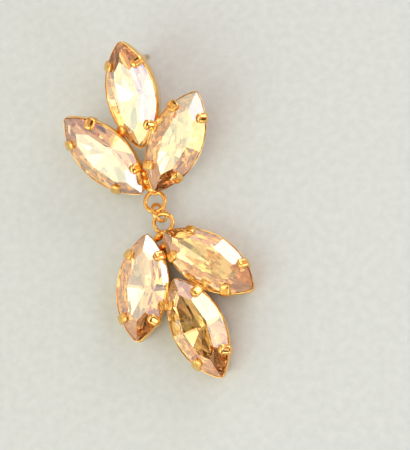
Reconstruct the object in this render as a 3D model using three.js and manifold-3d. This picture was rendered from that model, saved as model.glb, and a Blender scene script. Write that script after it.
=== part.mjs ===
// A chandelier earring of six marquise stones: a leafy cluster of three in soldered prong cups,
// a small loose ring, and a second cluster of three that dangles from it.
// It lies on its back on a flat surface, stones up, with the ear post propping up the upper cluster.
// Millimetres. +Z is up, +Y runs from the dangling cluster towards the upper one, +X is to its right.
import * as THREE from "three";
import { mergeVertices } from "three/addons/utils/BufferGeometryUtils.js";
import Module from "manifold-3d";

const wasm = await Module();
wasm.setup();

// One marquise stone, all six alike
const stoneLength = 15;
const stoneWidth = 7.2;
const crownHeight = 1.5; // girdle to table
const pavilionDepth = 3.0; // girdle to culet
const girdleBand = 0.2; // straight edge between crown and pavilion
const girdleTipRise = 0.3; // the crown starts this much higher at the two tips
const outlineSteps = 12; // straight edges along each curved side
const roughSpare = 1; // extra depth of the rough, which the pavilion facets grind away

// One cup, all six alike
const stoneGap = 0.12; // between a stone and the metal round it
const rimProud = 0.18; // the wall stands out this far beyond the stone's edge
const wallThickness = 0.3; // so the stone sits on the wall's bevelled inner edge
const rimDrop = 0.2; // the rim lies this far under the girdle's middle
const straightWall = 0.9; // upright part of the wall, under the rim
const floorThickness = 0.35;
const floorGap = 0.25; // under the culet
const floorInset = 0.75; // the wall slopes in by this much on its way to the floor

// One prong, four to a cup
const prongPlace = 0.61; // share of the stone's half length, from its middle
const prongWidth = 1.25;
const prongProud = 0.34; // stands out from the wall
const prongReach = 1.05; // over the stone's edge
const prongThickness = 0.36;
const prongRoot = 2.2; // how far down the wall it starts
const prongChamfer = 0.12;

// Rings and post
const topRing = { radius: 1.42, wire: 0.6 };
const looseRing = { radius: 1.28, wire: 0.54 };
const dropRing = { radius: 1.34, wire: 0.6 };
const ringSides = 16;
const wireSides = 6;
const ringHeight = 2.0; // of the rings' centres over the surface
const looseRingTurn = 58; // degrees, its left side up
const chainDirection = 24; // degrees, from straight down towards the right
const topChainStep = 1.72; // centre of the top ring to centre of the loose ring
const dropChainStep = 1.62; // centre of the loose ring to centre of the drop's ring
const postDiameter = 0.8;
const postLength = 8.0; // from the cup's back
const postPlace = 0.62; // share of the stone's half length, towards its outer tip
const postFootRadius = 0.95;
const postFootHeight = 0.6;
const postTipShare = 0.6; // its blunt end's radius, as a share of its own
const postSides = 12;

// Where each stone's middle sits in its cluster's own plane, whose origin is where the cups meet the
// ring. x: share of the stone's width. y: share of its length. turn: degrees anticlockwise from straight
// up to its outer tip. tipX, tipY: degrees that its face looks right and up.
const topStones = [
  { name: "upper", x: -0.24, y: 0.977, turn: 9.2, tipX: -8.5, tipY: -3 },
  { name: "left", x: -0.829, y: 0.42, turn: 43.9, tipX: 0.5, tipY: -6 },
  { name: "right", x: 0.622, y: 0.548, turn: -23.7, tipX: 8, tipY: 6 },
];
const dropStones = [
  { name: "left", x: -0.289, y: -0.634, turn: 177.7, tipX: -1, tipY: -1 },
  { name: "right", x: 0.967, y: -0.379, turn: -121.5, tipX: 1, tipY: 2 },
  { name: "lower", x: 0.839, y: -1.0, turn: 207.9, tipX: -5, tipY: -6 },
];

// Solder from one cup to another, or to its cluster's ring. along, toAlong: places on the cups' long
// axes, as shares of the half length, from -1 at the inner tip to 1 at the outer tip.
const topSolder = [
  { cup: "left", along: -0.8, to: "right", toAlong: -0.8 },
  { cup: "upper", along: -0.55, to: "left", toAlong: 0.15 },
  { cup: "upper", along: -0.5, to: "right", toAlong: 0.3 },
  { cup: "left", along: -0.8, to: "ring" },
  { cup: "right", along: -0.8, to: "ring" },
];
const dropSolder = [
  { cup: "left", along: -0.7, to: "right", toAlong: -0.75 },
  { cup: "left", along: 0.3, to: "lower", toAlong: -0.4 },
  { cup: "right", along: -0.05, to: "lower", toAlong: -0.7 },
  { cup: "left", along: -0.8, to: "ring" },
  { cup: "right", along: -0.8, to: "ring" },
];
const solderWidth = 1.3;
const solderHeight = 2.4;
const solderSides = 10;
const topRingPlace = { x: 0.87, y: -1.69 };

const halfLength = stoneLength / 2;
const halfWidth = stoneWidth / 2;
const sideRadius = (halfLength ** 2 + halfWidth ** 2) / (2 * halfWidth);
const sideCentre = sideRadius - halfWidth; // each side's arc is centred this far beyond the axis
const cupDepth = pavilionDepth + floorGap + floorThickness;
const far = 4 * stoneLength;

const gold = new THREE.MeshStandardMaterial({ color: 0xe0a13c, metalness: 1, roughness: 0.2 });
const crystal = new THREE.MeshStandardMaterial({ color: 0xecc893, metalness: 0.1, roughness: 0.05 });

// Solids for cutting and joining, and back
function solid(geometry, matrix = new THREE.Matrix4()) {
  let bare = geometry.clone().applyMatrix4(matrix);
  bare.deleteAttribute("normal");
  bare.deleteAttribute("uv");
  bare = mergeVertices(bare, 1e-4);
  return new wasm.Manifold(
    new wasm.Mesh({
      numProp: 3,
      vertProperties: new Float32Array(bare.attributes.position.array),
      triVerts: new Uint32Array(bare.index.array),
    }),
  );
}

function geometryOf(body) {
  const mesh = body.getMesh();
  const geometry = new THREE.BufferGeometry();
  geometry.setAttribute("position", new THREE.BufferAttribute(mesh.vertProperties, 3));
  geometry.setIndex(new THREE.BufferAttribute(mesh.triVerts, 1));
  return geometry;
}

// The marquise outline grown by offset, long way along Y: two arcs that meet at the tips
function outline(offset) {
  const radius = sideRadius + offset;
  const sweep = Math.acos(sideCentre / radius);
  const points = [];
  for (const side of [1, -1])
    for (let i = 0; i < outlineSteps; i++) {
      const angle = side * sweep * (1 - (2 * i) / outlineSteps);
      const across = side * (radius * Math.cos(angle) - sideCentre);
      points.push(new THREE.Vector2(across, -radius * Math.sin(angle)));
    }
  return points;
}

// A closed body through marquise sections, from the lowest to the highest
function loft(sections) {
  const rings = sections.map(({ offset, z }) => outline(offset).map((p) => [p.x, p.y, z]));
  const count = rings[0].length;
  const vertices = rings.flat();
  const bottom = vertices.push([0, 0, sections[0].z]) - 1;
  const top = vertices.push([0, 0, sections.at(-1).z]) - 1;
  const last = (rings.length - 1) * count;
  const faces = [];
  for (let i = 0; i < count; i++) {
    const next = (i + 1) % count;
    for (let ring = 0; ring < last; ring += count)
      faces.push([ring + i, ring + next, ring + count + next], [ring + i, ring + count + next, ring + count + i]);
    faces.push([bottom, next, i], [top, last + i, last + next]);
  }
  const geometry = new THREE.BufferGeometry();
  geometry.setAttribute("position", new THREE.Float32BufferAttribute(vertices.flat(), 3));
  geometry.setIndex(faces.flat());
  return geometry;
}

// Grinds one facet: everything beyond the plane through three points, on the far side from the middle, goes
function grind(body, a, b, c) {
  const plane = new THREE.Plane().setFromCoplanarPoints(a, b, c);
  if (plane.constant > 0) plane.negate();
  const block = new THREE.BoxGeometry(far, far, far);
  const turn = new THREE.Quaternion().setFromUnitVectors(new THREE.Vector3(0, 0, 1), plane.normal);
  const centre = plane.normal.clone().multiplyScalar(far / 2 - plane.constant);
  return body.subtract(solid(block, new THREE.Matrix4().compose(centre, turn, new THREE.Vector3(1, 1, 1))));
}

const quarters = [
  [1, 1],
  [-1, 1],
  [-1, -1],
  [1, -1],
];

// The table's corners in one quarter, as shares of the stone's half width and half length
const tableCorners = {
  middle: { across: 0.49, along: 0 },
  shoulder: { across: 0.32, along: 0.47 },
  tip: { across: 0, along: 0.65 },
};
// Pavilion facets in one quarter: each touches the side at this share of its arc from the middle to the
// tip. wide: the facet's reach at the girdle, as a share of the outline's. deep: where its plane meets
// the stone's axis, as a share of the pavilion's depth.
const pavilionFacets = [
  { arc: 0.2, wide: 1.16, deep: 1 },
  { arc: 0.55, wide: 1.16, deep: 1 },
  { arc: 0.86, wide: 1.16, deep: 1 },
  { arc: 0.05, wide: 1, deep: 1.7 },
  { arc: 0.37, wide: 1, deep: 1.7 },
  { arc: 0.7, wide: 1, deep: 1.7 },
  { arc: 0.96, wide: 1, deep: 1.7 },
];

function makeStone() {
  let stone = solid(loft([{ offset: 0, z: -pavilionDepth - roughSpare }, { offset: 0, z: crownHeight }]));
  const at = (across, along, z) => new THREE.Vector3(across, along, z);
  for (const [sx, sy] of quarters) {
    const corner = (c) => at(sx * c.across * halfWidth, sy * c.along * halfLength, crownHeight);
    const { middle, shoulder, tip } = tableCorners;
    stone = grind(stone, corner(middle), corner(shoulder), at(sx * halfWidth, 0, 0));
    stone = grind(stone, corner(shoulder), corner(tip), at(0, sy * halfLength, girdleTipRise));
    for (const { arc, wide, deep } of pavilionFacets) {
      const angle = arc * Math.asin(halfLength / sideRadius);
      const reach = wide * (sideRadius - sideCentre * Math.cos(angle));
      const out = new THREE.Vector3(sx * Math.cos(angle), sy * Math.sin(angle), 0);
      const edge = out.clone().multiplyScalar(reach).setZ(-girdleBand);
      const along = new THREE.Vector3(-out.y, out.x, 0);
      stone = grind(stone, edge, edge.clone().add(along), at(0, 0, -deep * pavilionDepth));
    }
  }
  return stone;
}

// A cup's outside
function makeCupBody() {
  return solid(
    loft([
      { offset: rimProud - floorInset, z: -cupDepth },
      { offset: rimProud, z: -rimDrop - straightWall },
      { offset: rimProud, z: -rimDrop },
    ]),
  );
}

// What is cut out of the cup: a well under the stone, and the stone itself grown by its gap
function makePocket(stone) {
  const inside = rimProud - wallThickness;
  const well = solid(
    loft([
      { offset: inside - floorInset, z: floorThickness - cupDepth },
      { offset: inside, z: -rimDrop - straightWall },
      { offset: inside, z: 0 },
    ]),
  );
  const grow = (half) => 1 + stoneGap / half;
  return well.add(stone.scale([grow(halfWidth), grow(halfLength), grow(crownHeight)]));
}

// A prong's side view: up the wall, over the girdle and down onto the crown's slope
function makeProng() {
  const outside = rimProud + prongProud;
  const crownSlope = crownHeight / (halfWidth * (1 - tableCorners.middle.across));
  const shoulder = girdleTipRise + stoneGap + prongThickness;
  const end = shoulder + crownSlope * prongReach;
  const side = new THREE.Shape([
    new THREE.Vector2(-wallThickness, -prongRoot),
    new THREE.Vector2(0, -prongRoot),
    new THREE.Vector2(outside, prongProud - prongRoot),
    new THREE.Vector2(outside, shoulder - prongThickness),
    new THREE.Vector2(outside - prongThickness / 2, shoulder),
    new THREE.Vector2(0, shoulder + prongThickness / 2),
    new THREE.Vector2(-prongReach + prongThickness / 2, end),
    new THREE.Vector2(-prongReach, end - prongThickness / 2),
    new THREE.Vector2(-prongReach, 0),
  ]);
  const strap = new THREE.ExtrudeGeometry(side, {
    depth: prongWidth - 2 * prongChamfer,
    bevelThickness: prongChamfer,
    bevelSize: prongChamfer,
    bevelOffset: -prongChamfer,
    bevelSegments: 1,
    curveSegments: 1,
  });
  strap.translate(0, 0, prongChamfer - prongWidth / 2).rotateX(Math.PI / 2);
  return solid(strap);
}

// The four prongs of a cup, each square to the outline where it stands
function makeProngs() {
  const prong = makeProng();
  const angle = Math.asin((prongPlace * halfLength) / sideRadius);
  const across = sideRadius * Math.cos(angle) - sideCentre;
  const along = prongPlace * halfLength;
  return wasm.Manifold.union(
    quarters.map(([sx, sy]) => {
      const heading = Math.atan2(sy * Math.sin(angle), sx * Math.cos(angle));
      return prong
        .rotate([0, 0, THREE.MathUtils.radToDeg(heading)])
        .translate([sx * across, sy * along, 0]);
    }),
  );
}

function ringGeometry({ radius, wire }) {
  return new THREE.TorusGeometry(radius, wire / 2, wireSides, ringSides);
}

const stoneSolid = makeStone();
const cupSolid = makeCupBody();
const pocketSolid = makePocket(stoneSolid);
const prongsSolid = makeProngs();
const stoneGeometry = geometryOf(stoneSolid);

// A stone's place in its cluster: turned, tipped, and lifted until its cup's back stands on the plane
function seat({ x, y, turn, tipX, tipY }) {
  const rad = THREE.MathUtils.degToRad;
  const tip = new THREE.Matrix4().makeRotationFromEuler(new THREE.Euler(-rad(tipY), rad(tipX), 0));
  const matrix = tip.multiply(new THREE.Matrix4().makeRotationZ(rad(turn)));
  const back = outline(rimProud - floorInset).map((p) =>
    new THREE.Vector3(p.x, p.y, -cupDepth).applyMatrix4(matrix),
  );
  const lift = -Math.min(...back.map((p) => p.z));
  return matrix.setPosition(x * stoneWidth, y * stoneLength, lift);
}

// A flattened bar of solder between two points
function solderBar(from, to) {
  const bar = new THREE.CylinderGeometry(0.5, 0.5, from.distanceTo(to), solderSides);
  bar.rotateX(Math.PI / 2).scale(solderWidth, solderHeight, 1);
  const middle = from.clone().add(to).divideScalar(2);
  const up = new THREE.Vector3(0, 0, 1);
  const turn = new THREE.Matrix4().lookAt(to, from, up).setPosition(middle);
  return solid(bar, turn);
}

// All the metal of one cluster, soldered into one body with a pocket for each stone
function makeFrame(stones, solder, ringEdge, extras) {
  const seats = stones.map(seat);
  const moved = (body) => seats.map((m) => body.transform(m.elements));
  const joint = (name, along) =>
    new THREE.Vector3(0, along * halfLength, -cupDepth / 2).applyMatrix4(
      seats[stones.findIndex((stone) => stone.name === name)],
    );
  const bars = solder.map(({ cup, along, to, toAlong }) =>
    solderBar(joint(cup, along), to === "ring" ? ringEdge : joint(to, toAlong)),
  );
  const metal = wasm.Manifold.union([...moved(cupSolid), ...moved(prongsSolid), ...bars, ...extras]);
  return geometryOf(metal.subtract(wasm.Manifold.union(moved(pocketSolid))));
}

function addStones(group, cluster, stones) {
  for (const stone of stones) {
    const mesh = new THREE.Mesh(stoneGeometry, crystal);
    mesh.name = cluster + "_stone_" + stone.name;
    mesh.applyMatrix4(seat(stone));
    group.add(mesh);
  }
}

// The ear post, square to the upper cluster's plane, on the back of its upper cup
const postStone = topStones[0];
const postAxis = new THREE.Vector3(0, postPlace * halfLength, -cupDepth).applyMatrix4(seat(postStone));
const postInside = floorThickness / 2; // its foot sinks into the cup's floor
function makePost() {
  const r = postDiameter / 2;
  const profile = [
    [0, -postLength],
    [r * postTipShare, -postLength],
    [r, -postLength + r * postTipShare],
    [r, -postFootHeight],
    [postFootRadius, 0],
    [postFootRadius, postInside],
    [0, postInside],
  ].map(([x, y]) => new THREE.Vector2(x, y));
  const post = new THREE.LatheGeometry(profile, postSides).rotateX(Math.PI / 2);
  return solid(post, new THREE.Matrix4().setPosition(postAxis));
}

// The upper cluster leans on its post tip until a cup's back corner meets the surface
const postTip = postAxis.clone().setZ(postAxis.z - postLength);
const corner = new THREE.Vector3();
let slope = Infinity;
for (const stone of topStones)
  for (const point of outline(rimProud - floorInset)) {
    corner.set(point.x, point.y, -cupDepth).applyMatrix4(seat(stone));
    if (corner.y < postTip.y) slope = Math.min(slope, (corner.z - postTip.z) / (postTip.y - corner.y));
  }
const pitch = Math.atan(slope);

const topCluster = new THREE.Group();
topCluster.rotation.x = pitch;
topCluster.position.z = -(postTip.y * Math.sin(pitch) + postTip.z * Math.cos(pitch));
topCluster.updateMatrixWorld(true);

// Its ring is flat to the surface at the stated height, so that its place in the cluster is worked back
const toTop = topCluster.matrixWorld.clone().invert();
const topRingCentre = new THREE.Vector3(topRingPlace.x, topRingPlace.y * Math.cos(pitch), ringHeight);
const topRingEdge = topRingCentre.clone().add(new THREE.Vector3(0, topRing.radius, 0)).applyMatrix4(toTop);
const topRingBody = solid(
  ringGeometry(topRing),
  toTop.clone().multiply(new THREE.Matrix4().setPosition(topRingCentre)),
);
const topFrame = new THREE.Mesh(
  makeFrame(topStones, topSolder, topRingEdge, [makePost(), topRingBody]),
  gold,
);
topFrame.name = "top_setting_with_post";
topCluster.add(topFrame);
addStones(topCluster, "top", topStones);

// The chain of three rings runs down and to the right
const heading = THREE.MathUtils.degToRad(chainDirection);
const chain = new THREE.Vector3(Math.sin(heading), -Math.cos(heading), 0);
const looseRingCentre = topRingCentre.clone().addScaledVector(chain, topChainStep);
const dropRingCentre = looseRingCentre.clone().addScaledVector(chain, dropChainStep);
const jumpRing = new THREE.Mesh(ringGeometry(looseRing), gold);
jumpRing.name = "jump_ring";
jumpRing.position.copy(looseRingCentre);
jumpRing.rotateOnWorldAxis(chain, -THREE.MathUtils.degToRad(looseRingTurn));

// The dangling cluster lies flat on the backs of its cups, its origin under its own ring's centre
const dropCluster = new THREE.Group();
dropCluster.position.set(dropRingCentre.x, dropRingCentre.y, 0);
const dropRingBody = solid(ringGeometry(dropRing), new THREE.Matrix4().setPosition(0, 0, ringHeight));
const dropRingEdge = new THREE.Vector3(0, -dropRing.radius, ringHeight);
const dropFrame = new THREE.Mesh(makeFrame(dropStones, dropSolder, dropRingEdge, [dropRingBody]), gold);
dropFrame.name = "drop_setting";
dropCluster.add(dropFrame);
addStones(dropCluster, "drop", dropStones);

// The part's origin is under the middle of the whole earring, on the surface that it lies on
const earring = new THREE.Group();
earring.name = "chandelier_earring";
earring.add(topCluster, jumpRing, dropCluster);
earring.updateMatrixWorld(true);
const box = new THREE.Box3().setFromObject(earring, true);
earring.position.set(-(box.min.x + box.max.x) / 2, -(box.min.y + box.max.y) / 2, -box.min.z);

export default earring;
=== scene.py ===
# %% [markdown]
# # A chandelier earring of six marquise crystals
#
# The earring is two leafy clusters of three stones. Each stone sits in a prong cup, the cups of a
# cluster are soldered together, and a small loose ring lets the second cluster dangle from the first.
# It lies on its back, as it would on a jeweller's bench, with the ear post under the upper cluster.
#
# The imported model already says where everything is, so this script only measures it and dresses it:
# cut crystals with a foiled back, smooth polished metal in place of the plain solids, light and camera.
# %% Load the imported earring
import math

import bmesh
import bpy
from mathutils import Matrix, Vector


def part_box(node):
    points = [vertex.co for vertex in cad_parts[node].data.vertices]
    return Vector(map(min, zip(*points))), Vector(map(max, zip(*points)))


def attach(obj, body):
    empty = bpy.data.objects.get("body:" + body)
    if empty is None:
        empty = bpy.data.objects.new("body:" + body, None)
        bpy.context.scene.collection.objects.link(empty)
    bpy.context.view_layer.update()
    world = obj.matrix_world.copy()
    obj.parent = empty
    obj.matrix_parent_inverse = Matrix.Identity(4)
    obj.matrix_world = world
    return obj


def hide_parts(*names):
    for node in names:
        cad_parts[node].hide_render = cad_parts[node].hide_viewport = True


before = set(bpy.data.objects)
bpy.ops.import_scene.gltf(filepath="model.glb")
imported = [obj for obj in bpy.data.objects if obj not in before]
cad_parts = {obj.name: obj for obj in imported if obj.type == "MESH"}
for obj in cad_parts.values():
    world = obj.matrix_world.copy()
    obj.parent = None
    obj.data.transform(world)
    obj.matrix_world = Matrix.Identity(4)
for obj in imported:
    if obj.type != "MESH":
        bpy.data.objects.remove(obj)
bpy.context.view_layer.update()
MM = 0.001

# %% [markdown]
# ## Small helpers for meshes
#
# Cups, prongs and the ear post are closed shells that can be drawn as a stack of rings of points: the
# rings are joined side by side, and each end is closed with one face. A curve could be swept instead,
# but in a stack every ring can have a shape of its own, and one helper then makes all three.
# %% Mesh helpers
def new_object(name, mesh):
    """An object at the origin whose place is all in its mesh."""
    thing = bpy.data.objects.new(name, mesh)
    bpy.context.collection.objects.link(thing)
    return thing


def shell(bm, rings):
    """Adds the closed surface through rings of points, the same number in each, to a bmesh."""
    loops = [[bm.verts.new(point) for point in ring] for ring in rings]
    count = len(loops[0])
    for low, high in zip(loops, loops[1:]):
        for i in range(count):
            j = (i + 1) % count
            bm.faces.new((low[i], low[j], high[j], high[i]))
    bm.faces.new(loops[0][::-1])
    bm.faces.new(loops[-1])


def finish_mesh(bm, name, sharp_degrees):
    """Points the faces outwards, smooths all but the sharp edges and returns the object."""
    bmesh.ops.recalc_face_normals(bm, faces=bm.faces)
    for face in bm.faces:
        face.smooth = True
    for edge in bm.edges:
        edge.smooth = edge.calc_face_angle(0) < math.radians(sharp_degrees)
    mesh = bpy.data.meshes.new(name)
    bm.to_mesh(mesh)
    bm.free()
    return new_object(name, mesh)


# %% [markdown]
# ## Where each stone sits
#
# A stone can be measured from its own facets. Its table is its largest flat face, so that face's normal
# is the way the stone looks. Its two tips are the points that lie furthest apart. From these come the
# stone's own axes: X across it, Y along it and outwards, Z out of the table, with the origin in the
# middle of the girdle, the edge where the stone is widest. The places could be typed in as numbers, but
# measured ones stay right when the model changes.
# %% Points and middle of a node
def node_points(name):
    return [Vector(v.co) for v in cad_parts[name].data.vertices]


def middle_of(name):
    low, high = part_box(name)
    return (Vector(low) + Vector(high)) / 2


ring_middle = middle_of("jump_ring")
print("middle of the loose ring, mm:", [round(c / MM, 1) for c in ring_middle])

# %% A stone's own axes
CROWN_HEIGHT = 1.5 * MM  # girdle to table


def table_normal(name):
    """The normal of the largest facet, summed over its triangles."""
    areas = {}
    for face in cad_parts[name].data.polygons:
        key = tuple(round(c, 2) for c in face.normal)
        total, normal = areas.get(key, (0, None))
        areas[key] = (total + face.area, normal or Vector(face.normal))
    return max(areas.values(), key=lambda pair: pair[0])[1].normalized()


def stone_axes(name):
    """(matrix from the stone's axes to the earring's, half length, half width)."""
    look = table_normal(name)
    points = node_points(name)
    middle = middle_of(name)
    tip = max(points, key=lambda p: (p - middle).length)
    other = max(points, key=lambda p: (p - tip).length)
    along = tip - other
    along = (along - look * along.dot(look)).normalized()
    if along.dot(middle - ring_middle) < 0:
        along = -along
    across = along.cross(look)

    def span(axis):
        heights = [p.dot(axis) for p in points]
        return min(heights), max(heights)

    low_x, high_x = span(across)
    low_y, high_y = span(along)
    top = span(look)[1]
    origin = across * (low_x + high_x) / 2 + along * (low_y + high_y) / 2 + look * (top - CROWN_HEIGHT)
    turn = Matrix((across, along, look)).transposed().to_4x4()
    return Matrix.Translation(origin) @ turn, (high_y - low_y) / 2, (high_x - low_x) / 2


# %% Measure the six stones
CLUSTERS = {"top": ("upper", "left", "right"), "drop": ("left", "right", "lower")}
seats = {}
for cluster, names in CLUSTERS.items():
    for name in names:
        seats[cluster, name], HALF_LENGTH, HALF_WIDTH = stone_axes(f"{cluster}_stone_{name}")
        at = seats[cluster, name].translation / MM
        print(cluster, name, "at", [round(c, 1) for c in at])
print("stone, mm:", round(2 * HALF_LENGTH / MM, 2), "x", round(2 * HALF_WIDTH / MM, 2))

# %% [markdown]
# ## Glass and foil
#
# A fashion crystal is clear lead-free glass with a mirror foil on its back, so light that goes in at the
# top comes back out. A glass shader alone would let that light through to the bench, so the faces that
# look down get a finish of their own, a warm polished metal.
#
# A champagne crystal owes its colour to a thin coating that is pale yellow seen square on, through the
# table, peach through the sloping sides of the crown and rosy through the facets at the tips. So each
# facet of the crown carries a number for the coating to read: 0 on the table, 1 on a tip facet. The
# coating mirrors more than bare glass does, which the shader's clear coat gives with a high index.
# %% Material helpers
def new_material(name):
    """A node material with its main shader ready."""
    made = bpy.data.materials.new(name)
    made.use_nodes = True
    return made, made.node_tree, made.node_tree.nodes["Principled BSDF"]


def fill_in(tree, made, values):
    """Sets a node's inputs: the output of another node is linked, and anything else is a plain value."""
    for label, value in values.items():
        socket = made.inputs[label]
        if isinstance(value, bpy.types.NodeSocket):
            tree.links.new(value, socket)
        else:
            socket.default_value = value


def node(tree, kind, **inputs):
    """A new node with the named inputs filled in."""
    made = tree.nodes.new(kind)
    fill_in(tree, made, inputs)
    return made


def ramp(tree, factor, stops):
    """A colour ramp through (place, colour) stops."""
    made = node(tree, "ShaderNodeValToRGB", Fac=factor)
    elements = made.color_ramp.elements
    while len(elements) < len(stops):
        elements.new(0.5)
    for element, (place, colour) in zip(elements, stops):
        element.position = place
        element.color = (*colour, 1)
    return made.outputs["Color"]


def carried(tree, value, source, target):
    """A value carried from one (low, high) range to another, and kept inside it."""
    made = node(tree, "ShaderNodeMapRange", Value=value)
    fill_in(tree, made, {"From Min": source[0], "From Max": source[1]})
    fill_in(tree, made, {"To Min": target[0], "To Max": target[1]})
    return made.outputs["Result"]


# %% Finish of the glass
COATING_STOPS = (  # by the number of a facet: table, side, tip
    (0.0, (1.0, 0.97, 0.7)),
    (0.5, (1.0, 0.84, 0.54)),
    (1.0, (0.8, 0.62, 0.67)),
)
GLASS_INDEX = 1.57
COATING_INDEX = 3.2
crystal, tree, shader = new_material("champagne_crystal")
facet = tree.nodes.new("ShaderNodeAttribute")
facet.attribute_name = "facet"
look_of_glass = {
    "Base Color": ramp(tree, facet.outputs["Fac"], COATING_STOPS),
    "Transmission Weight": 1.0,
    "Roughness": 0.0,
    "IOR": GLASS_INDEX,
    "Coat Weight": 1.0,
    "Coat Roughness": 0.0,
    "Coat IOR": COATING_INDEX,
}
fill_in(tree, shader, look_of_glass)
print("finish:", crystal.name)

# %% Finish of the foil
FOIL_COLOUR = (1.0, 0.85, 0.6, 1)
FOIL_ROUGHNESS = 0.03
foil, tree, shader = new_material("champagne_foil")
fill_in(tree, shader, {"Base Color": FOIL_COLOUR, "Metallic": 1.0, "Roughness": FOIL_ROUGHNESS})
print("finish:", foil.name)

# %% [markdown]
# ## Cut crystals
#
# The crystals could be cut from blocks here, but the solids of the model are already exact, facet by
# facet. So each crystal is a merged copy of its solid, with the small triangles joined back into
# facets. The facets stay flat, because that is what makes a stone sparkle.
#
# The solid's two long arcs meet in tips as sharp as a knife, and a moulded stone's are a little blunt.
# Bisect Plane cuts a mesh along a plane and can throw one side away, so three cuts round each tip, all
# touching one small circle, leave three narrow upright facets there.
# %% Blunt tips
TIP_RADIUS = 0.55 * MM
TIP_CUTS = (-30, 0, 30)  # degrees from the long axis of the small facets round a tip
SIDE_RADIUS = (HALF_LENGTH**2 + HALF_WIDTH**2) / (2 * HALF_WIDTH)  # of the long arcs
SIDE_CENTRE = SIDE_RADIUS - HALF_WIDTH  # from the middle line to an arc's centre


def blunt_tips(bm, seat):
    """Grinds small upright facets round both tips of a stone."""
    middle = math.sqrt((SIDE_RADIUS - TIP_RADIUS) ** 2 - SIDE_CENTRE**2)
    for end in (1, -1):
        for degrees in TIP_CUTS:
            turn = math.radians(degrees)
            facing = Vector((math.sin(turn), end * math.cos(turn), 0))
            at = Vector((0, end * middle, 0)) + facing * TIP_RADIUS
            cut = bmesh.ops.bisect_plane(
                bm,
                geom=[*bm.verts, *bm.edges, *bm.faces],
                plane_co=seat @ at,
                plane_no=seat.to_3x3() @ facing,
                clear_outer=True,
            )
            edges = [part for part in cut["geom_cut"] if isinstance(part, bmesh.types.BMEdge)]
            bmesh.ops.edgeloop_fill(bm, edges=edges)


print("radius of a stone's long sides, mm:", round(SIDE_RADIUS / MM, 2))

# %% Cut crystals from the solids
MERGE_DISTANCE = 0.002 * MM
FLAT_ANGLE = math.radians(0.6)  # triangles that lie flatter than this to each other are one facet
TABLE_SLOPE = math.radians(5)  # the steepest that a table can be, from the way the stone looks
TIP_FACETS = 0.55  # share of the half length beyond which a crown facet counts as a tip facet
FOIL_LIMIT = -0.05  # a face whose normal has less than this along the look is foiled


def facet_number(slope, along):
    """What the coating reads: 0 for the table, 0.5 for a side facet and 1 for a tip facet."""
    if slope < TABLE_SLOPE:
        return 0.0
    return 1.0 if abs(along) > TIP_FACETS * HALF_LENGTH else 0.5


def make_crystal(cluster, name):
    """A faceted copy of a stone's solid, glass above its girdle and foil below."""
    node_name = f"{cluster}_stone_{name}"
    seat = seats[cluster, name]
    bm = bmesh.new()
    bm.from_mesh(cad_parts[node_name].data)
    bmesh.ops.remove_doubles(bm, verts=bm.verts, dist=MERGE_DISTANCE)
    bmesh.ops.dissolve_limit(bm, angle_limit=FLAT_ANGLE, verts=bm.verts, edges=bm.edges)
    blunt_tips(bm, seat)
    bmesh.ops.recalc_face_normals(bm, faces=bm.faces)
    look = seat.to_3x3().col[2]
    to_stone = seat.inverted()
    numbers = []
    for face in bm.faces:
        face.material_index = 1 if face.normal.dot(look) < FOIL_LIMIT else 0
        face.smooth = False
        at = to_stone @ face.calc_center_median()
        numbers.append(facet_number(face.normal.angle(look), at.y))
    mesh = bpy.data.meshes.new(f"{cluster}_crystal_{name}")
    bm.to_mesh(mesh)
    bm.free()
    mesh.attributes.new("facet", "FLOAT", "FACE").data.foreach_set("value", numbers)
    mesh.materials.append(crystal)
    mesh.materials.append(foil)
    piece = new_object(mesh.name, mesh)
    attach(piece, "root")
    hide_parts(node_name)
    print(piece.name, "facets:", len(mesh.polygons))


for cluster, names in CLUSTERS.items():
    for name in names:
        make_crystal(cluster, name)

# %% [markdown]
# ## Polished gold plate
#
# Gold plate has almost no colour of its own beyond its reflections, so what sells it is the slight
# waviness of cast and hand-polished metal. The waves could be modelled, but they are too small to show
# in the outline, so a soft bump bends the reflections instead. A second, finer noise moves the colour
# and the roughness a little, as fingers and polishing leave them.
# %% Finish of the metal
GOLD_STOPS = ((0.25, (0.84, 0.47, 0.14)), (0.6, (0.97, 0.63, 0.23)))  # deep to bright
GLOSS = (0.05, 0.13)  # least and most roughness
WAVE_SCALE = 420  # waves to the metre
WAVE_STRENGTH = 0.25
WAVE_DEPTH = 0.08 * MM
POLISH_FINENESS = 3.3  # times as fine as the waves
gold, tree, shader = new_material("gold_plate")
place = tree.nodes.new("ShaderNodeTexCoord").outputs["Object"]
waves = node(tree, "ShaderNodeTexNoise", Vector=place, Scale=WAVE_SCALE, Detail=2.0)
polish = node(tree, "ShaderNodeTexNoise", Vector=place, Scale=WAVE_SCALE * POLISH_FINENESS, Detail=4.0)
relief = node(
    tree, "ShaderNodeBump", Height=waves.outputs["Fac"], Strength=WAVE_STRENGTH, Distance=WAVE_DEPTH
)
look_of_gold = {
    "Base Color": ramp(tree, polish.outputs["Fac"], GOLD_STOPS),
    "Roughness": carried(tree, polish.outputs["Fac"], (0.0, 1.0), GLOSS),
    "Normal": relief.outputs["Normal"],
    "Metallic": 1.0,
}
fill_in(tree, shader, look_of_gold)
print("finish:", gold.name)

# %% [markdown]
# ## The cups
#
# A cup is a thin wall round its stone, with a flat closed back. It could be a block with a hole cut
# out, but a loft keeps neat rows of faces, which smooth well.
#
# A marquise outline is two long arcs joined by two tight ones round the tips. Growing all four arcs by
# the same amount keeps a wall even all the way round, so one outline function serves the wall's
# outside, its inside and its floor. The wall is lofted through rings of that outline: up the outside,
# over a rounded rim, and down inside.
# %% Marquise outline
LEAST_RADIUS = 0.05 * MM  # of a tip, however far the outline shrinks
TIP_RISE_POWER = 2.5  # the larger, the nearer to the tips the rise starts
SIDE_STEPS = 26
TIP_STEPS = 6


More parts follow.
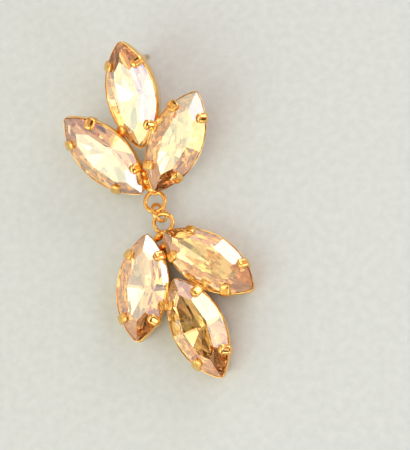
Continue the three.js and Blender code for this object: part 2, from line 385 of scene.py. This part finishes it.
def outline(offset, z, tip_rise):
    """The marquise outline grown by offset, at height z in the stone's axes and higher at the tips."""
    radius = SIDE_RADIUS + offset
    tip_radius = max(TIP_RADIUS + offset, LEAST_RADIUS)
    sweep = math.acos(SIDE_CENTRE / (radius - tip_radius))
    middle = (radius - tip_radius) * math.sin(sweep)
    flat = []
    for side in (1, -1):
        for i in range(SIDE_STEPS):
            angle = sweep * (2 * i / SIDE_STEPS - 1)
            flat.append((side * (radius * math.cos(angle) - SIDE_CENTRE), side * radius * math.sin(angle)))
        for i in range(TIP_STEPS):
            angle = sweep + (math.pi - 2 * sweep) * i / TIP_STEPS
            flat.append((side * tip_radius * math.cos(angle), side * (middle + tip_radius * math.sin(angle))))
    return [Vector((x, y, z + tip_rise * abs(y / HALF_LENGTH) ** TIP_RISE_POWER)) for x, y in flat]


print("points in an outline:", len(outline(0, 0, 0)))

# %% Section of the wall
RIM_PROUD = 0.18 * MM  # beyond the stone's edge
WALL = 0.3 * MM
RIM_DROP = 0.06 * MM  # a burnished lip under the girdle's upper edge
TIP_RISE = 0.28 * MM  # the lip follows the girdle up at the two tips
SEAT_GAP = 0.03 * MM
SEAT_HEIGHT = -0.26 * MM  # under the girdle's straight band
STRAIGHT_WALL = 0.9 * MM
FLOOR_INSET = 0.75 * MM
CUP_DEPTH = 3.6 * MM
outer = RIM_PROUD
inner = outer - WALL
rim = -RIM_DROP
CUP_SECTION = [  # offset from the stone's edge, height, rise at the tips
    (outer - FLOOR_INSET - 0.25 * MM, -CUP_DEPTH, 0),
    (outer - FLOOR_INSET - 0.06 * MM, -CUP_DEPTH + 0.03 * MM, 0),
    (outer - FLOOR_INSET + 0.03 * MM, -CUP_DEPTH + 0.16 * MM, 0),
    (outer - 0.5 * FLOOR_INSET, -CUP_DEPTH + 1.25 * MM, 0),
    (outer - 0.12 * FLOOR_INSET, rim - STRAIGHT_WALL - 0.35 * MM, 0),
    (outer, rim - STRAIGHT_WALL + 0.15 * MM, 0.3 * TIP_RISE),
    (outer, rim - 0.08 * MM, TIP_RISE),
    (outer - 0.03 * MM, rim - 0.02 * MM, TIP_RISE),
    (outer - 0.08 * MM, rim, TIP_RISE),
    (outer - 0.13 * MM, rim - 0.03 * MM, TIP_RISE),
    (SEAT_GAP, rim - 0.1 * MM, TIP_RISE),
    (SEAT_GAP, SEAT_HEIGHT, 0),
    (inner, SEAT_HEIGHT - 0.25 * MM, 0),
    (inner, rim - STRAIGHT_WALL, 0),
    (inner - 0.6 * FLOOR_INSET, -CUP_DEPTH + 0.9 * MM, 0),
    (inner - FLOOR_INSET, -CUP_DEPTH + 0.4 * MM, 0),
]
print("rings in a cup's wall:", len(CUP_SECTION))


# %% Cup walls
def make_cups(cluster):
    """The three cup walls of a cluster as one piece."""
    bm = bmesh.new()
    for name in CLUSTERS[cluster]:
        seat = seats[cluster, name]
        shell(bm, [[seat @ point for point in outline(*row)] for row in CUP_SECTION])
    cups = finish_mesh(bm, f"{cluster}_cups", sharp_degrees=38)
    cups.data.materials.append(gold)
    print(cups.name, "faces:", len(cups.data.polygons))
    return cups


cups = {cluster: make_cups(cluster) for cluster in CLUSTERS}

# %% [markdown]
# ## The prongs
#
# A prong is a short strap soldered to the wall and bent over the stone to hold it. Twenty-four prongs
# are alike, so only one is modelled: a pillowy strap that runs up the wall, bends over the girdle and
# presses on the crown. A loop could copy it, but Geometry Nodes can stand a copy on every point of a
# small cloud, turned as an attribute of that point says.
# %% Middle line of a prong
PRONG_REACH = 1.15 * MM  # in over the stone from its edge, less what the bend takes up
PRONG_ROOT = 1.5 * MM  # below the girdle
PRONG_PROUD = 0.09 * MM  # middle line beyond the wall's outside
ROOT_LEAN = 0.45  # the root leans into the wall, as the wall draws in below its straight band
CROWN_SLOPE = math.radians(39)
BEND_START = 0.12 * MM  # above the girdle
BEND_RADIUS = 0.34 * MM


def prong_path(share):
    """(out, up, heading) of the strap's middle line, heading in radians from straight up."""
    wall_x = outer + PRONG_PROUD
    bend = math.pi / 2 - CROWN_SLOPE
    rise = BEND_START + PRONG_ROOT
    arc = BEND_RADIUS * bend
    run = (PRONG_REACH + wall_x - BEND_RADIUS) / math.cos(CROWN_SLOPE)
    travelled = share * (rise + arc + run)
    if travelled < rise:
        up = travelled - PRONG_ROOT
        return wall_x - ROOT_LEAN * max(0.0, -up - STRAIGHT_WALL), up, 0.0
    turned = min(bend, (travelled - rise) / BEND_RADIUS)
    out = wall_x - BEND_RADIUS * (1 - math.cos(turned))
    up = BEND_START + BEND_RADIUS * math.sin(turned)
    rest = max(0.0, travelled - rise - arc)
    return out - rest * math.sin(turned), up + rest * math.cos(turned), turned


print("a prong's tip, mm out and up:", [round(c / MM, 2) for c in prong_path(1)[:2]])

# %% One prong
PRONG_WIDTH = 1.5 * MM
PRONG_THICKNESS = 0.5 * MM
ROOT_ROUNDING = 9  # the strap has its full section after a ninth of its length
END_ROUNDING = 5  # and loses it over the last fifth
LEAST_WIDTH = 0.15  # share that is left at both ends
LEAST_THICKNESS = 0.12
ROOT_WIDTH = 0.8  # share of the width at the root
WIDTH_GAIN = 0.2  # and what that share gains on the way to the tip
ROOT_THICKNESS = 0.75
THICKNESS_GAIN = 0.35
SIDE_POWER = 0.75  # an ellipse has 1, and less makes the section squarer
FACE_POWER = 0.95
PRONG_SIDES = 16
PRONG_STATIONS = 26


def prong_ring(share):
    """One section of the strap: a rounded oblong that narrows to nearly nothing at both ends."""
    out, up, turned = prong_path(share)
    end = min(1.0, share * ROOT_ROUNDING, (1 - share) * END_ROUNDING)
    fullness = math.sqrt(max(0.0, 1 - (1 - end) ** 2))
    width = PRONG_WIDTH / 2 * (LEAST_WIDTH + (1 - LEAST_WIDTH) * fullness)
    width *= ROOT_WIDTH + WIDTH_GAIN * share
    thick = PRONG_THICKNESS / 2 * max(LEAST_THICKNESS, fullness)
    thick *= ROOT_THICKNESS + THICKNESS_GAIN * share
    points = []
    for i in range(PRONG_SIDES):
        angle = 2 * math.pi * i / PRONG_SIDES
        c, s = math.cos(angle), math.sin(angle)
        side = width * math.copysign(abs(c) ** SIDE_POWER, c)
        lift = thick * math.copysign(abs(s) ** FACE_POWER, s)
        points.append(Vector((out + lift * math.cos(turned), side, up + lift * math.sin(turned))))
    return points


bm = bmesh.new()
shell(bm, [prong_ring(i / (PRONG_STATIONS - 1)) for i in range(PRONG_STATIONS)])
prong = finish_mesh(bm, "one_prong", sharp_degrees=60)
print("prong faces:", len(prong.data.polygons))


# %% Geometry Nodes helpers
def new_tree(name, floats=(), objects=()):
    """A Geometry Nodes tree with named inputs: floats as (label, value), objects as labels."""
    tree = bpy.data.node_groups.new(name, "GeometryNodeTree")
    tree.interface.new_socket("Geometry", in_out="INPUT", socket_type="NodeSocketGeometry")
    for label, value in floats:
        socket = tree.interface.new_socket(label, in_out="INPUT", socket_type="NodeSocketFloat")
        socket.default_value = value
    for label in objects:
        tree.interface.new_socket(label, in_out="INPUT", socket_type="NodeSocketObject")
    tree.interface.new_socket("Material", in_out="INPUT", socket_type="NodeSocketMaterial")
    tree.interface.new_socket("Geometry", in_out="OUTPUT", socket_type="NodeSocketGeometry")
    return tree, tree.nodes.new("NodeGroupInput").outputs, tree.nodes.new("NodeGroupOutput").inputs


def end_tree(tree, geometry, material, result):
    """The last two steps of every tree: instances are made real, and the material is set."""
    real = node(tree, "GeometryNodeRealizeInstances", Geometry=geometry)
    dressed = node(tree, "GeometryNodeSetMaterial", Geometry=real.outputs["Geometry"], Material=material)
    tree.links.new(dressed.outputs["Geometry"], result["Geometry"])


def run_tree(base, tree, values, name):
    """Runs a tree on a base object and returns the result as a plain mesh object."""
    modifier = base.modifiers.new(tree.name, "NODES")
    modifier.node_group = tree
    for item in tree.interface.items_tree:
        if item.in_out == "INPUT" and item.name in values:
            modifier[item.identifier] = values[item.name]
    depsgraph = bpy.context.evaluated_depsgraph_get()
    mesh = bpy.data.meshes.new_from_object(base.evaluated_get(depsgraph))
    base.modifiers.remove(modifier)
    mesh.name = name
    made = new_object(name, mesh)
    bpy.data.objects.remove(base)
    return made


# %% Tree that stands prongs on places
prong_tree, given, result = new_tree("prongs_on_places", objects=("Prong",))
source = node(prong_tree, "GeometryNodeObjectInfo", Object=given["Prong"])
turn = prong_tree.nodes.new("GeometryNodeInputNamedAttribute")
turn.data_type = "QUATERNION"
turn.inputs["Name"].default_value = "turn"
stand = node(
    prong_tree,
    "GeometryNodeInstanceOnPoints",
    Points=given["Geometry"],
    Instance=source.outputs["Geometry"],
    Rotation=turn.outputs["Attribute"],
)
end_tree(prong_tree, stand.outputs["Instances"], given["Material"], result)
print("tree:", prong_tree.name)

# %% Stand the prongs round each cup
PRONG_PLACE = 0.61  # share of the half length


def prong_places(cluster):
    """Four places round each cup, each with the turn of the prong that stands there."""
    along = PRONG_PLACE * HALF_LENGTH
    angle = math.asin(along / SIDE_RADIUS)
    across = SIDE_RADIUS * math.cos(angle) - SIDE_CENTRE
    places = []
    for name in CLUSTERS[cluster]:
        for side_x in (1, -1):
            for side_y in (1, -1):
                heading = math.atan2(side_y * math.sin(angle), side_x * math.cos(angle))
                stand_at = Matrix.Translation((side_x * across, side_y * along, 0))
                places.append(seats[cluster, name] @ stand_at @ Matrix.Rotation(heading, 4, "Z"))
    return places


def make_prongs(cluster):
    """The twelve prongs of a cluster as one piece."""
    places = prong_places(cluster)
    mesh = bpy.data.meshes.new(f"{cluster}_prong_places")
    mesh.from_pydata([m.translation for m in places], [], [])
    turns = mesh.attributes.new("turn", "QUATERNION", "POINT")
    for item, place in zip(turns.data, places):
        item.value = place.to_quaternion()
    base = new_object(mesh.name, mesh)
    values = {"Prong": prong, "Material": gold}
    made = run_tree(base, prong_tree, values, f"{cluster}_prongs")
    print(made.name, "at", len(places), "places, faces:", len(made.data.polygons))
    return made


prongs = {cluster: make_prongs(cluster) for cluster in CLUSTERS}
bpy.data.objects.remove(prong)

# %% [markdown]
# ## The rings
#
# A ring is a round wire bent to a circle. A torus would do for one, but a small tree with the ring's
# radius and the wire's thickness as inputs makes all three: two circles and a Curve to Mesh. The outer
# two rings lie flat and are soldered to their clusters. The loose one is tilted and passes through
# both of them.
# %% Tree that sweeps a wire round a circle
RING_STEPS = 72
WIRE_STEPS = 20
ring_tree, given, result = new_tree("wire_ring", floats=(("Radius", MM), ("Wire", MM)))
half_wire = ring_tree.nodes.new("ShaderNodeMath")
half_wire.operation = "DIVIDE"
fill_in(ring_tree, half_wire, {0: given["Wire"], 1: 2})
circle_kind = "GeometryNodeCurvePrimitiveCircle"
circle = node(ring_tree, circle_kind, Radius=given["Radius"], Resolution=RING_STEPS)
section = node(ring_tree, circle_kind, Radius=half_wire.outputs["Value"], Resolution=WIRE_STEPS)
swept = ring_tree.nodes.new("GeometryNodeCurveToMesh")
fill_in(ring_tree, swept, {"Curve": circle.outputs["Curve"], "Profile Curve": section.outputs["Curve"]})
smooth = node(ring_tree, "GeometryNodeSetShadeSmooth", Geometry=swept.outputs["Mesh"])
end_tree(ring_tree, smooth.outputs["Geometry"], given["Material"], result)
print("tree:", ring_tree.name)

# %% Where the rings lie
CHAIN_DIRECTION = math.radians(24)  # from straight down towards the right
TOP_STEP = 1.72 * MM  # soldered ring's centre to the loose ring's
DROP_STEP = 1.62 * MM
LOOSE_TURN = math.radians(58)
chain = Vector((math.sin(CHAIN_DIRECTION), -math.cos(CHAIN_DIRECTION), 0))
ring_places = {
    "top_ring": Matrix.Translation(ring_middle - chain * TOP_STEP),
    "jump_ring_wire": Matrix.Translation(ring_middle) @ Matrix.Rotation(-LOOSE_TURN, 4, chain),
    "drop_ring": Matrix.Translation(ring_middle + chain * DROP_STEP),
}
for name, place in ring_places.items():
    print(name, "at, mm:", [round(c / MM, 1) for c in place.translation])

# %% Three rings
RINGS = {  # centre-line radius and wire diameter
    "top_ring": (1.42 * MM, 0.6 * MM),
    "jump_ring_wire": (1.28 * MM, 0.54 * MM),
    "drop_ring": (1.34 * MM, 0.6 * MM),
}


def make_ring(name):
    """One wire ring in its place."""
    radius, wire = RINGS[name]
    base = new_object(name + "_base", bpy.data.meshes.new(name + "_base"))
    made = run_tree(base, ring_tree, {"Radius": radius, "Wire": wire, "Material": gold}, name)
    made.data.transform(ring_places[name])
    print(name, "across, mm:", round((2 * radius + wire) / MM, 2))
    return made


rings = {name: make_ring(name) for name in RINGS}

# %% [markdown]
# ## The solder
#
# Solder fills the crack where two cups meet and runs into a smooth fillet. It was melted, so it has no
# edges to model, and a stretched ball of metal between the two walls gives the same soft swelling. To
# find the crack, a point walks from inside one cup towards the other: where it leaves the first
# outline and where it enters the second are the crack's two sides. Two smaller balls join each
# soldered ring to the cups beside it.
# %% Find the crack between two cups
WALK_STEPS = 400


def inside_cup(cluster, name, share):
    """A point half way down a cup on its long middle line, -1 at the inner tip to 1 at the outer."""
    return seats[cluster, name] @ Vector((0, share * HALF_LENGTH, -CUP_DEPTH / 2))


def outside(seat, point):
    """True if a point is outside a cup's wall, seen along the stone's own look."""
    local = seat.inverted() @ point
    reach = (SIDE_RADIUS + outer) ** 2 - local.y**2
    return reach <= 0 or abs(local.x) + SIDE_CENTRE > math.sqrt(reach)


def walk(start, end):
    """Evenly spaced points on the straight line from start to end."""
    return [start.lerp(end, i / WALK_STEPS) for i in range(WALK_STEPS + 1)]


def first_outside(seat, points):
    """The first of some points that is outside a cup, or else the last of them."""
    return next((point for point in points if outside(seat, point)), points[-1])


# %% Fill a crack
SOLDER_HALF_WIDTH = 0.7 * MM
SOLDER_HALF_HEIGHT = 1.1 * MM
SOLDER_BITE = 0.22 * MM  # into each wall


def egg(bm, start, end, half_width, half_height):
    """A stretched ball from start to end."""
    axis = (end - start).normalized()
    side = axis.cross(Vector((0, 0, 1))).normalized()
    turn = Matrix((axis, side, axis.cross(side))).transposed().to_4x4()
    size = Matrix.Diagonal(((end - start).length / 2, half_width, half_height, 1))
    place = Matrix.Translation((start + end) / 2) @ turn @ size
    bmesh.ops.create_icosphere(bm, subdivisions=4, radius=1, matrix=place)


def solder_cups(bm, cluster, cup, share, other, other_share):
    """Solder between two cups, each at a share along it."""
    start, end = inside_cup(cluster, cup, share), inside_cup(cluster, other, other_share)
    steps = walk(start, end)
    leaves = first_outside(seats[cluster, cup], steps)
    enters = first_outside(seats[cluster, other], steps[::-1])
    axis = (end - start).normalized()
    low, high = (leaves, enters) if (enters - leaves).dot(axis) > 0 else (enters, leaves)
    egg(bm, low - axis * SOLDER_BITE, high + axis * SOLDER_BITE, SOLDER_HALF_WIDTH, SOLDER_HALF_HEIGHT)
    print(cluster, cup, other, "crack, mm:", round((high - low).length / MM, 2))


# %% Join a ring to a cup
RING_JOINT = -0.8  # share along each of the two cups beside a ring
RING_BITE = 0.25 * MM  # into the wire
RING_SOLDER_HALF_WIDTH = 0.55 * MM
RING_SOLDER_HALF_HEIGHT = 0.8 * MM


def solder_ring(bm, cluster, cup, edge):
    """Solder from a cup to the edge of its cluster's ring."""
    start = inside_cup(cluster, cup, RING_JOINT)
    leaves = first_outside(seats[cluster, cup], walk(start, edge))
    axis = (edge - start).normalized()
    low, high = leaves - axis * SOLDER_BITE, edge + axis * RING_BITE
    egg(bm, low, high, RING_SOLDER_HALF_WIDTH, RING_SOLDER_HALF_HEIGHT)


# %% Solder of both clusters
SOLDER = {  # cup, share along it, other cup, share along that one
    "top": (
        ("left", -0.8, "right", -0.8),
        ("left", -0.62, "right", -0.62),
        ("upper", -0.55, "left", 0.15),
        ("upper", -0.5, "right", 0.3),
    ),
    "drop": (("left", -0.7, "right", -0.75), ("left", 0.3, "lower", -0.4), ("right", -0.05, "lower", -0.7)),
}


def make_solder(cluster):
    """All the solder of a cluster as one piece."""
    bm = bmesh.new()
    for joint in SOLDER[cluster]:
        solder_cups(bm, cluster, *joint)
    ring_name = f"{cluster}_ring"
    ring = ring_places[ring_name].translation
    inward = sum((seats[cluster, name].translation for name in CLUSTERS[cluster]), Vector()) / 3 - ring
    # The edge of the ring that faces the cups
    edge = ring + Vector((0, math.copysign(RINGS[ring_name][0], inward.y), 0))
    for cup in ("left", "right"):
        solder_ring(bm, cluster, cup, edge)
    solder = finish_mesh(bm, f"{cluster}_solder", sharp_degrees=180)
    solder.data.materials.append(gold)
    return solder


solder = {cluster: make_solder(cluster) for cluster in CLUSTERS}

# %% [markdown]
# ## The ear post
#
# The post is a straight pin on the back of the uppermost cup, and the upper cluster leans on it. Its
# foot is known from that cup, and its tip is found among the points of the solid, as those that touch
# the bench beyond the foot. A cylinder could stand between the two, but a stack of rings also gives the
# rounded tip and the flare of solder at the foot.
# %% Measure the post
POST_PLACE = 0.62  # share of the uppermost cup's half length
TOUCHING = 0.3 * MM  # a point lower than this touches the bench
foot = seats["top", "upper"] @ Vector((0, POST_PLACE * HALF_LENGTH, -CUP_DEPTH))
touching = [p for p in node_points("top_setting_with_post") if p.z < TOUCHING and p.y > foot.y]
tip = sum(touching, Vector()) / len(touching)
length = (foot - tip).length
print("post, mm:", round(length / MM, 2))

# %% Turn the post
POST_RADIUS = 0.4 * MM
POST_FOOT_RADIUS = 0.95 * MM
POST_SIDES = 32
POST_SECTION = [  # radius, distance from the tip
    (0.08 * MM, 0.0),
    (0.24 * MM, 0.02 * MM),
    (0.34 * MM, 0.1 * MM),
    (POST_RADIUS, 0.26 * MM),
    (POST_RADIUS, length - 0.7 * MM),
    (POST_RADIUS * 1.15, length - 0.45 * MM),
    (POST_FOOT_RADIUS * 0.75, length - 0.2 * MM),
    (POST_FOOT_RADIUS, length - 0.02 * MM),
    (POST_FOOT_RADIUS, length + 0.1 * MM),
]
stand_up = Matrix.Translation(tip) @ (foot - tip).to_track_quat("Z", "Y").to_matrix().to_4x4()


def post_ring(radius, z):
    """A circle round the post at a distance from its tip."""
    turns = [2 * math.pi * i / POST_SIDES for i in range(POST_SIDES)]
    return [stand_up @ Vector((radius * math.cos(a), radius * math.sin(a), z)) for a in turns]


bm = bmesh.new()
shell(bm, [post_ring(*row) for row in POST_SECTION])
post = finish_mesh(bm, "ear_post", sharp_degrees=60)
post.data.materials.append(gold)
print(post.name, "faces:", len(post.data.polygons))

# %% [markdown]
# ## Hand the pieces to the frame
#
# The earring lies still, so all pieces ride on the one body. The metal pieces of a cluster together
# stand for its single soldered solid.
# %% Ride and replace
metal = [*cups.values(), *prongs.values(), *solder.values(), *rings.values(), post]
for piece in metal:
    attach(piece, "root")
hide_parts("top_setting_with_post")
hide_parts("drop_setting")
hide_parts("jump_ring")
print("metal pieces:", len(metal))

# %% [markdown]
# ## The bench
#
# The bench is one plain, pale and matt square, so that nothing on it competes with the earring. A faint
# grain keeps it from looking like a flat fill of colour.
# %% Floor
FLOOR_HALF = 1.2  # metres
FLOOR_STOPS = ((0.3, (0.64, 0.72, 0.84)), (0.7, (0.7, 0.78, 0.91)))
FLOOR_ROUGHNESS = 0.8
GRAIN_SCALE = 900.0
floor_finish, tree, shader = new_material("pale_floor")
place = tree.nodes.new("ShaderNodeTexCoord").outputs["Object"]
grain = node(tree, "ShaderNodeTexNoise", Vector=place, Scale=GRAIN_SCALE, Detail=3.0)
floor_colour = ramp(tree, grain.outputs["Fac"], FLOOR_STOPS)
fill_in(tree, shader, {"Base Color": floor_colour, "Roughness": FLOOR_ROUGHNESS})
bm = bmesh.new()
bmesh.ops.create_grid(bm, x_segments=1, y_segments=1, size=FLOOR_HALF)
mesh = bpy.data.meshes.new("pale_floor")
bm.to_mesh(mesh)
bm.free()
mesh.materials.append(floor_finish)
floor = new_object("pale_floor", mesh)
print("floor, half a side in metres:", FLOOR_HALF)

# %% [markdown]
# ## The surroundings
#
# Crystals and polished metal show nothing but what is around them, so they need surroundings with some
# contrast. A photographer stands black cards round jewellery for this: a facet that mirrors a card
# turns dark beside its bright neighbours. Cards could be modelled, but the world's shader can read the
# direction of each ray, so here the sky is a ramp of soft browns from side to side, and each card is a
# round patch of it where the strength fades to almost nothing.
# %% Directions
def towards(turn, height):
    """A direction, from degrees from +X towards +Y and degrees above the floor."""
    turn, height = math.radians(turn), math.radians(height)
    return Vector((math.cos(height) * math.cos(turn), math.cos(height) * math.sin(turn), math.sin(height)))


def along_direction(tree, direction, aim):
    """The cosine of the angle between a direction and a fixed aim."""
    product = tree.nodes.new("ShaderNodeVectorMath")
    product.operation = "DOT_PRODUCT"
    fill_in(tree, product, {0: direction, 1: aim})
    return product.outputs["Value"]


# %% Sky
SKY_AXIS = Vector((0.88, 0.42, 0.2)).normalized()  # to the right and up, as the camera sees it
SKY_STOPS = (  # from 0, straight against the axis, to 1, straight along it
    (0.0, (0.46, 0.37, 0.27)),
    (0.35, (0.43, 0.35, 0.26)),
    (0.55, (0.27, 0.2, 0.14)),
    (0.75, (0.33, 0.21, 0.14)),
    (1.0, (0.42, 0.27, 0.18)),
)
world = bpy.data.worlds.new("studio")
bpy.context.scene.world = world
world.use_nodes = True
tree = world.node_tree
background = tree.nodes["Background"]
direction = tree.nodes.new("ShaderNodeTexCoord").outputs["Generated"]
place = carried(tree, along_direction(tree, direction, SKY_AXIS), (-1.0, 1.0), (0.0, 1.0))
fill_in(tree, background, {"Color": ramp(tree, place, SKY_STOPS)})
print("sky:", world.name)

# %% Dark cards
SKY_STRENGTH = 2.25
CARD_EDGE = 5  # degrees over which a card fades
CARD_SHADE = 0.08  # share of the sky that is left in a card's middle
DARK_CARDS = {  # degrees from +X towards +Y and above the floor, radius of the dark middle
    "right_card": (-52, 41, 12),
    "back_card": (112, 28, 9),
    "upper_card": (-166, 64, 9),
    "corner_card": (-20, 34, 8),
    "gap_card": (14, 29, 3),
    "left_card": (169, 5, 4),
    "front_card": (-65, 1, 8),
    "low_card": (-4, 9, 6),
    "high_card": (58, 50, 7),
}
strength = SKY_STRENGTH
for turn, height, radius in DARK_CARDS.values():
    fade = (math.cos(math.radians(radius + CARD_EDGE)), math.cos(math.radians(radius)))
    nearness = along_direction(tree, direction, towards(turn, height))
    shade = tree.nodes.new("ShaderNodeMath")
    shade.operation = "MULTIPLY"
    fill_in(tree, shade, {0: carried(tree, nearness, fade, (1.0, CARD_SHADE)), 1: strength})
    strength = shade.outputs["Value"]
fill_in(tree, background, {"Strength": strength})
print("dark cards:", len(DARK_CARDS))

# %% [markdown]
# ## The panels
#
# A flat facet mirrors one small patch of the surroundings, so a stone can be lit facet by facet. One
# large soft light would turn them all pale together. So each panel here is small, and most stand where
# the camera sees them mirrored in a table or in one facet of a crown or two. All stand equally far from
# the earring and face it, and the power of a panel is its radiance times its area times pi.
# %% Panels
PANEL_DISTANCE = 0.5  # metres
DAYLIGHT = (0.86, 0.94, 1.0)
BLUE_SKY = (0.5, 0.72, 1.0)
PALE_GREEN = (0.8, 1.0, 0.78)
MINT = (0.84, 1.0, 0.9)
LEMON = (1.0, 0.98, 0.5)
PANELS = {  # degrees from +X towards +Y and above the floor, size in metres, radiance, colour
    "right_panel_0": (-34, 27, 0.16, 2.6, DAYLIGHT),
    "right_panel_1": (20, 16, 0.16, 2.4, DAYLIGHT),
    "right_panel_2": (52, 31, 0.17, 2.5, PALE_GREEN),
    "right_panel_3": (70, 13, 0.24, 2.4, DAYLIGHT),
    "upper_panel": (16, 38, 0.14, 1.05, DAYLIGHT),
    "sky_panel": (-4, 49, 0.14, 2.0, BLUE_SKY),
    "back_panel": (90, 27, 0.07, 0.8, DAYLIGHT),
    "far_panel": (121, 36, 0.09, 1.2, PALE_GREEN),
    "crown_panel": (109, 60, 0.11, 0.42, BLUE_SKY),
    "side_panel": (43, 53, 0.07, 0.5, BLUE_SKY),
    "low_left_panel": (-150, 5, 0.08, 1.4, PALE_GREEN),
    "low_near_panel": (-110, 5, 0.08, 1.8, PALE_GREEN),
    "near_panel": (-124, 46, 0.34, 1.6, PALE_GREEN),
    "overhead_panel": (-79, 75, 0.22, 1.45, PALE_GREEN),
    "left_panel": (162, 74, 0.13, 0.95, MINT),
    "middle_panel": (122, 72, 0.09, 0.42, LEMON),
    "soft_panel_0": (-7, 27, 0.08, 0.65, BLUE_SKY),
    "soft_panel_1": (20, 26, 0.05, 0.65, BLUE_SKY),
    "low_panel": (-65, 18, 0.1, 2.1, LEMON),
    "horizon_panel": (-17, 6, 0.1, 2.1, LEMON),
}


def panel(name, turn, height, size, radiance, colour):
    """A square soft panel that looks at the earring."""
    data = bpy.data.lights.new(name, "AREA")
    data.shape = "SQUARE"
    data.size = size
    data.energy = radiance * math.pi * size**2
    data.color = colour
    lamp = bpy.data.objects.new(name, data)
    bpy.context.collection.objects.link(lamp)
    away = towards(turn, height)
    lamp.location = away * PANEL_DISTANCE
    lamp.rotation_mode = "QUATERNION"
    lamp.rotation_quaternion = away.to_track_quat("Z", "Y")


for name, values in PANELS.items():
    panel(name, *values)
print("panels:", len(PANELS))

# %% [markdown]
# ## Light paths and colour
#
# Inside a stone, light goes from facet to facet many times before it leaves, and a path that runs out
# of bounces ends in black. So the limits are set well above the usual ones. The Standard view shows
# each colour as it was mixed, where a film-like view would grey the champagne.
# %% Bounces and view
light_paths = bpy.context.scene.cycles
light_paths.max_bounces = 24
light_paths.glossy_bounces = 16
light_paths.transmission_bounces = 16
bpy.context.scene.view_settings.view_transform = "Standard"
print("bounces:", light_paths.max_bounces)

# %% [markdown]
# ## The camera
#
# The camera looks down steeply, with the upper cluster at the top, as in the photo. It could be nudged
# by eye, but its lens and aim follow from three things that can be read in the photo: how many pixels
# there are to the millimetre, and how far across and down the earring's middle lies.
# %% Direction of view
CAMERA_AZIMUTH = math.radians(45)
CAMERA_ELEVATION = math.radians(71)
CAMERA_ROLL = math.radians(3)
away = Vector(
    (
        math.sin(CAMERA_AZIMUTH) * math.cos(CAMERA_ELEVATION),
        -math.cos(CAMERA_AZIMUTH) * math.cos(CAMERA_ELEVATION),
        math.sin(CAMERA_ELEVATION),
    )
)
right = Vector((0, 1, 0)).cross(away).normalized()
right = Matrix.Rotation(CAMERA_ROLL, 3, away) @ right
up = away.cross(right)
print("towards the camera:", [round(c, 2) for c in away])

# %% Camera
CAMERA_DISTANCE = 200 * MM
PIXELS_PER_MM = 7.21  # in the photo, at the earring's middle
PHOTO_WIDTH, PHOTO_HEIGHT = 410, 450
MIDDLE_IN_PHOTO = (160.2, 206.4)
MIDDLE_HEIGHT = 4 * MM  # of the earring's middle above the floor
middle = Vector((0, 0, MIDDLE_HEIGHT))
eye = middle + away * CAMERA_DISTANCE
aim = middle
aim = aim + right * (PHOTO_WIDTH / 2 - MIDDLE_IN_PHOTO[0]) / PIXELS_PER_MM * MM
aim = aim - up * (PHOTO_HEIGHT / 2 - MIDDLE_IN_PHOTO[1]) / PIXELS_PER_MM * MM
back = (eye - aim).normalized()
right = (right - back * right.dot(back)).normalized()
turn = Matrix((right, back.cross(right), back)).transposed().to_4x4()
data = bpy.data.cameras.new("camera")
# The sensor's width covers the longer side of the picture, which is its height
data.lens = PIXELS_PER_MM / MM * CAMERA_DISTANCE / PHOTO_HEIGHT * data.sensor_width
data.clip_start = 10 * MM
camera = bpy.data.objects.new("camera", data)
bpy.context.collection.objects.link(camera)
camera.matrix_world = Matrix.Translation(eye) @ turn
bpy.context.scene.camera = camera
print("lens, mm:", round(data.lens, 1))
